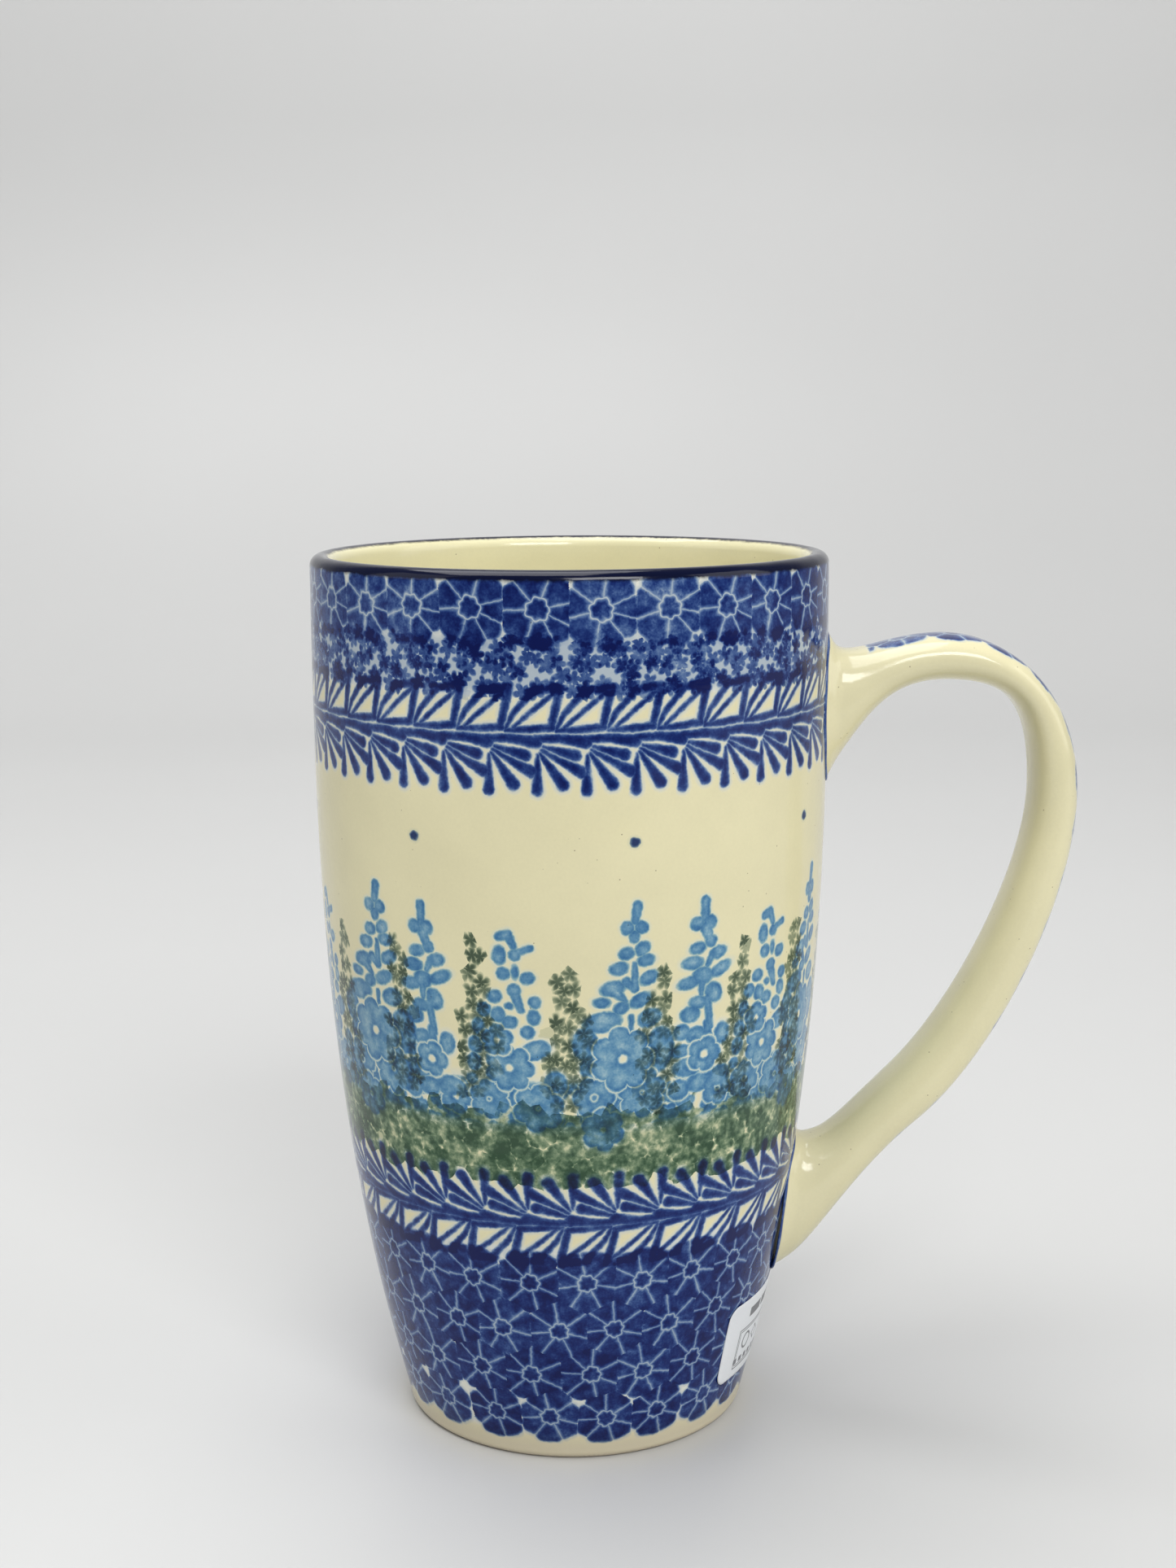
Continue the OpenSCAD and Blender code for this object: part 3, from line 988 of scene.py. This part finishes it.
class MUG_OT_cup(bpy.types.Operator):
    """The thrown cup: one closed profile turned round the axis, then made a little uneven"""
    bl_idname = "mug.cup"
    bl_label = "Cup"

    def execute(self, context):
        cup = settings().cup
        lip = cup.rim_wall / 2
        floor_top = cup.foot_hollow + cup.floor
        corner = floor_top + cup.floor_round
        ring_in = wall_radius(0.0) - cup.foot_round - cup.foot_ring
        foot = (float(wall_radius(cup.foot_round)) - cup.foot_round, cup.foot_round)
        up = np.linspace(cup.foot_round, cup.height - lip, 96)
        down = np.linspace(cup.height - lip, corner, 60)
        hollow = arc((ring_in - cup.foot_hollow, 0), cup.foot_hollow, 90, 12, 7)
        outer = np.vstack([
            [[8 * MM, cup.foot_hollow], [16 * MM, cup.foot_hollow]],
            hollow,
            [[ring_in + 0.4 * MM, 0.0], [foot[0] - 0.4 * MM, 0.0]],
            arc(foot, cup.foot_round, -90, -8, 8),
            np.stack([wall_radius(up), up], -1),
        ])
        lip_arc = arc((cup.rim_radius - lip, cup.height - lip), lip, 8, 172, 18)
        inner = np.vstack([
            np.stack([inside_radius(down), down], -1),
            arc((float(inside_radius(corner)) - cup.floor_round, corner), cup.floor_round, -4, -90, 12),
            [[12 * MM, floor_top], [5 * MM, floor_top]],
        ])
        profile = np.vstack([outer, lip_arc, inner])
        a = np.linspace(0, TURN, 384, endpoint=False)
        r, z = profile[:, :1], profile[:, 1:]
        tall = z / cup.height
        sway = 0.5 + 0.2 * np.sin(2 * a + 1 + 2 * tall) + 0.15 * np.sin(3 * a + 4 * tall)
        rings = 0.15 * np.sin(z / 0.0043 + 0.5 * np.sin(a))
        away = np.clip(r / 0.02, 0, 1) * np.clip(z / 0.004, 0, 1) * np.clip((cup.height - z) / 0.002, 0, 1)
        r = r - cup.unevenness * away * (sway + rings)
        materials = [glazed("cup_glaze_foot", paint_lower, 0.25),
                     glazed("cup_glaze_flowers", lambda tree: paint_garden(tree, False), 0.35),
                     glazed("cup_glaze_spikes", lambda tree: paint_garden(tree, True), 0.35),
                     glazed("cup_glaze_rim", paint_upper, 0.35), glazed("cup_glaze_inside", paint_inside),
                     clay_material()]
        inside_glaze, clay = 4, 5
        radius, height = (profile[1:].T + profile[:-1].T) / 2
        outside = np.arange(len(height)) < len(outer) + len(lip_arc) // 2
        zones = np.searchsorted([FLOWERS_FROM * MM, SPIKES_FROM * MM, RIM_FROM * MM], height)
        zones[height < 0.9 * MM] = clay
        zones[~outside | (radius < ring_in - 0.3 * MM)] = inside_glaze
        zones = np.concatenate([[inside_glaze], zones, [inside_glaze]])
        poles = ((0, 0, cup.foot_hollow), (0, 0, floor_top))
        piece = surface("glazed_cup", round_axis(a, r, z), poles=poles, zones=zones)
        finish_piece(piece, materials, "cup_glaze", "cup_body")
        return {"FINISHED"}


# Edges of the strap: at each station the distance from the axis and the height in mm, the heading in
# degrees and the reach of the curve on either side.
OUTER_EDGE = [(43, 131, -49, 5), (62, 132, 0, 10), (84.5, 105, -90, 18.5), (59, 49, -140, 16),
              (35.5, 23.5, -159, 5.5)]
INNER_EDGE = [(42, 108.5, 52, 10.5), (62, 124.5, 0, 11), (77, 106, -90, 14), (54.5, 57, -135, 15.5),
              (38, 45, -172, 6)]
RINGS = 30


def edge_line(stations, root):
    """One edge of the strap: a cubic between each pair of stations, with a straight root at each end."""
    s = np.array(stations, float)
    pull = s[:, 3:] * np.stack([np.cos(np.radians(s[:, 2])), np.sin(np.radians(s[:, 2]))], -1)
    t = np.linspace(0, 1, RINGS, endpoint=False)[:, None, None]
    a, b = s[:-1, :2], s[1:, :2]
    curve = (a * (1 - t) ** 3 + (a + pull[:-1]) * 3 * (1 - t) ** 2 * t
             + (b - pull[1:]) * 3 * (1 - t) * t ** 2 + b * t ** 3)
    curve = curve.swapaxes(0, 1).reshape(-1, 2)
    inward = np.array([root / MM, 0])
    start = a[0] - inward * np.array([[1.0], [0.66], [0.33]])
    end = s[-1, :2] - inward * np.array([[0.0], [0.33], [0.66], [1.0]])
    return np.vstack([start, curve, end]) * MM


def signed_power(value, power):
    return np.sign(value) * np.abs(value) ** power


def off_wall(points):
    """How far outside the cup's wall points lie."""
    return np.hypot(points[..., 0], points[..., 1]) - wall_radius(points[..., 2])


def strap_rings(sides):
    """Rings of the strap from the upper joint to the lower: each is a squarish oval between matching points
    of the edges, widened towards the wall, with a quick flare where it meets the wall."""
    handle = settings().handle
    outer, inner = (edge_line(e, handle.root) for e in (OUTER_EDGE, INNER_EDGE))
    count = len(outer)
    index = np.arange(count)
    from_end = np.minimum(index, count - 1 - index) / RINGS
    half_width = handle.width / 2 + handle.spread / 2 * np.maximum(0, 1 - from_end) ** 2
    a = np.linspace(-math.pi / 2, math.pi * 1.5, sides, endpoint=False)
    middle, half = (outer + inner) / 2, (outer - inner) / 2
    plane = middle[:, None] + half[:, None] * signed_power(np.sin(a), 0.9)[None, :, None]
    y = half_width[:, None] * signed_power(np.cos(a), 0.75)
    points = np.stack([plane[..., 0], y, plane[..., 1]], -1)
    centre = np.stack([middle[:, 0], middle[:, 0] * 0, middle[:, 1]], -1)[:, None]
    flare = handle.fillet * np.clip(1 - off_wall(points) / (2.6 * MM), 0, 1) ** 2
    return points + unit(points - centre) * flare[..., None]


class MUG_OT_handle(bpy.types.Operator):
    """The pulled strap handle: rings carried from the upper joint round to the lower one"""
    bl_idname = "mug.handle"
    bl_label = "Handle"

    def execute(self, context):
        points = strap_rings(72)
        across = walked(np.concatenate([points, points[:, :1]], 1))
        across -= across[:, -1:] / 2
        along = walked(points[:, points.shape[1] // 2])
        uv = np.stack([np.broadcast_to(along[:, None], across.shape), across], -1)
        piece = surface("glazed_handle", points, uv, poles=(points[0].mean(0), points[-1].mean(0)))
        finish_piece(piece, [glazed("handle_glaze", paint_handle)], "handle_glaze", "handle")
        return {"FINISHED"}


def joint_line(rings):
    """Where the strap comes out of the wall: on each side line of the strap, the first point outside the
    wall, found between two rings by proportion. It is smoothed four times with its neighbours."""
    clear = off_wall(rings)
    after = np.maximum(1, (clear > 0).argmax(0))
    j = np.arange(rings.shape[1])
    c0, c1 = clear[after - 1, j], clear[after, j]
    t = np.clip(-c0 / (c1 - c0), 0, 1)[:, None]
    path = rings[after - 1, j] * (1 - t) + rings[after, j] * t
    for _ in range(4):
        path = (np.roll(path, 1, 0) + 2 * path + np.roll(path, -1, 0)) / 4
    return path


class MUG_OT_seams(bpy.types.Operator):
    """The smoothed slip round each end of the handle: a flattened bead carried round the joint's line"""
    bl_idname = "mug.seams"
    bl_label = "Seams"

    def execute(self, context):
        material = glazed("seam_blue", paint_seam)
        rings = strap_rings(144)
        a = np.linspace(0, TURN, 16, endpoint=False)[:, None, None]
        for end, part in (("upper", rings), ("lower", rings[::-1])):
            path = joint_line(part)
            tangent = unit(np.roll(path, -1, 0) - np.roll(path, 1, 0))
            normal = unit(path * np.array([1, 1, 0]))
            wave = 1 + 0.15 * np.sin(np.linspace(0, TURN, len(path), endpoint=False) * 9)[:, None]
            half = settings().handle.seam / 2 * wave
            points = path + np.cos(a) * normal * half * 0.55 + np.sin(a) * np.cross(tangent, normal) * half
            points = points.swapaxes(0, 1)
            piece = surface(end + "_seam", np.concatenate([points, points[:1]], 0))
            finish_piece(piece, [material], "slip", end + "_slip_joint")
        return {"FINISHED"}


class MUG_OT_label(bpy.types.Operator):
    """The paper label: a rounded rectangle laid on the wall, with a little lift at its corners"""
    bl_idname = "mug.label"
    bl_label = "Label"

    def execute(self, context):
        label = settings().label
        lo, hi = (np.array(c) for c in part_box("paper_label"))
        half_h = (hi[2] - lo[2]) / 2 - label.margin
        half_w = label.width / 2 - label.margin
        mid_z = (hi[2] + lo[2]) / 2
        mid_r = float(wall_radius(mid_z))
        c = label.corner
        t = np.linspace(0, TURN, 64, endpoint=False) + 0.001
        outline = np.stack([np.sign(np.cos(t)) * (half_w - c) + c * np.cos(t),
                            np.sign(np.sin(t)) * (half_h - c) + c * np.sin(t)], -1)
        closed = np.vstack([outline, outline[:1]])
        far = walked(closed)
        even = np.linspace(0, far[-1], 192, endpoint=False)
        outline = np.stack([np.interp(even, far, closed[:, k]) for k in (0, 1)], -1)
        scale = np.linspace(0.03, 1, 24)
        flat = outline * np.concatenate([scale, scale[::-1]])[:, None, None]
        front = (np.arange(len(flat)) < len(scale))[:, None]
        lift = 0.35 * MM * (np.abs(flat[..., 0]) / half_w) ** 6 * (np.abs(flat[..., 1]) / half_h) ** 4
        z = mid_z + flat[..., 1]
        r = wall_radius(z) + lift + np.where(front, label.thickness, 0.0)
        points = round_axis(label.turn + flat[..., 0] / mid_r, r, z)
        poles = [round_axis(label.turn, radius, mid_z) for radius in (mid_r + label.thickness, mid_r)]
        piece = surface("label_sheet", points, np.concatenate([flat, flat[:, :1]], 1), poles)
        finish_piece(piece, [paper_material()], "label_paper", "paper_label")
        return {"FINISHED"}


def area_light(name, place, target, size, power):
    """A rectangular lamp of the given size in metres, which shines from its place at its target."""
    lamp = bpy.data.lights.new(name, "AREA")
    lamp.shape = "RECTANGLE"
    lamp.size, lamp.size_y = size
    lamp.energy = power
    made = bpy.data.objects.new(name, lamp)
    made.location = place
    made.rotation_euler = (Vector(target) - made.location).to_track_quat("-Z", "Y").to_euler()
    bpy.context.collection.objects.link(made)


class MUG_OT_stage(bpy.types.Operator):
    """The pale floor that curves up into a backdrop, soft lights, and the camera"""
    bl_idname = "mug.stage"
    bl_label = "Stage"

    def execute(self, context):
        stage = settings().stage
        front, depth, bend, tall = -0.5, 0.75, 0.35, 1.6
        curve = arc((depth, bend), bend, -90, 0, 16)
        side = np.vstack([[[front, 0.0], [-0.2, 0.0], [0.2, 0.0]], curve, [[depth + bend, tall]]])
        x = np.linspace(-2.2, 2.2, 12)
        rows = np.stack(np.broadcast_arrays(x, side[:, :1], side[:, 1:]), -1)
        i, j = np.meshgrid(np.arange(len(side) - 1) * len(x), np.arange(len(x) - 1), indexing="ij")
        faces = np.stack([i + j, i + j + 1, i + j + len(x) + 1, i + j + len(x)], -1).reshape(-1, 4)
        mesh = bpy.data.meshes.new("stage_floor")
        mesh.from_pydata(rows.reshape(-1, 3).tolist(), [], faces.tolist())
        mesh.polygons.foreach_set("use_smooth", np.ones(len(faces), bool))
        floor = bpy.data.objects.new("stage_floor", mesh)
        context.collection.objects.link(floor)
        material, tree = new_material("pale_floor")
        tone = line(noise(tree, node(tree, "ShaderNodeTexCoord", out=3), 3.0, 3.0), 0.08, 0.96)
        finish_shader(tree, scaled(stage.floor_colour, tone), 0.45)
        mesh.materials.append(material)

        area_light("overhead_light", (-0.25, 0.15, 1.4), (0, 0.1, 0), (1.3, 1.0), 16)
        area_light("front_light", (0.35, -1.15, 1.05), (0, 0, 0.08), (0.8, 0.5), 13)
        area_light("left_light", (-1.4, -0.3, 0.8), (0, 0, 0.08), (0.9, 1.2), 2.5)
        area_light("right_light", (1.4, -0.2, 0.7), (0, 0, 0.08), (0.9, 1.2), 5)

        world = bpy.data.worlds.new("soft_room")
        context.scene.world = world
        world.use_nodes = True
        back = world.node_tree.nodes["Background"]
        back.inputs["Color"].default_value = (0.96, 0.97, 1.0, 1)
        back.inputs["Strength"].default_value = 0.2
        context.scene.view_settings.view_transform = "Standard"

        camera = bpy.data.cameras.new("camera")
        camera.lens = stage.lens
        camera.sensor_width = 36
        camera.clip_start = 0.01
        holder = bpy.data.objects.new("camera", camera)
        context.collection.objects.link(holder)
        yaw, pitch, roll = stage.camera_turn, stage.camera_pitch, stage.camera_roll
        level = np.array([math.sin(yaw), math.cos(yaw), 0])
        ahead = level * math.cos(pitch) - np.array([0, 0, math.sin(pitch)])
        right = np.array([math.cos(yaw), -math.sin(yaw), 0])
        up = np.cross(right, ahead)
        across = math.cos(roll) * right + math.sin(roll) * up
        over = -math.sin(roll) * right + math.cos(roll) * up
        place = (0, -stage.camera_distance, stage.camera_height)
        columns = np.column_stack([across, over, -ahead, place])
        holder.matrix_world = Matrix([*columns.tolist(), [0, 0, 0, 1]])
        context.scene.camera = holder
        return {"FINISHED"}


# ---------------------------------------------------------------- panel and running

class MugSettings(bpy.types.PropertyGroup):
    """All of the mug's settings."""
    cup: PointerProperty(type=MugCupSettings)
    handle: PointerProperty(type=MugHandleSettings)
    label: PointerProperty(type=MugLabelSettings)
    glaze: PointerProperty(type=MugGlazeSettings)
    stage: PointerProperty(type=MugStageSettings)


OPERATORS = (MUG_OT_cup, MUG_OT_handle, MUG_OT_seams, MUG_OT_label, MUG_OT_stage)


class MUG_PT_panel(bpy.types.Panel):
    """Lists the mug's pieces and their settings"""
    bl_idname = "MUG_PT_panel"
    bl_label = "Stamped stoneware mug"
    bl_space_type = "VIEW_3D"
    bl_region_type = "UI"
    bl_category = "Mug"

    def draw(self, context):
        for operator in OPERATORS:
            self.layout.operator(operator.bl_idname)
        for group in MugSettings.__annotations__:
            box = self.layout.box()
            part = getattr(context.scene.mug, group)
            for name in type(part).__annotations__:
                box.prop(part, name)


CLASSES = (MugCupSettings, MugHandleSettings, MugLabelSettings, MugGlazeSettings, MugStageSettings,
           MugSettings, *OPERATORS, MUG_PT_panel)


def register():
    for item in CLASSES:
        bpy.utils.register_class(item)
    bpy.types.Scene.mug = PointerProperty(type=MugSettings)


def unregister():
    del bpy.types.Scene.mug
    for item in reversed(CLASSES):
        bpy.utils.unregister_class(item)


def main():
    register()
    bpy.ops.mug.cup()
    bpy.ops.mug.handle()
    bpy.ops.mug.seams()
    bpy.ops.mug.label()
    bpy.ops.mug.stage()


if __name__ == "__main__":
    main()
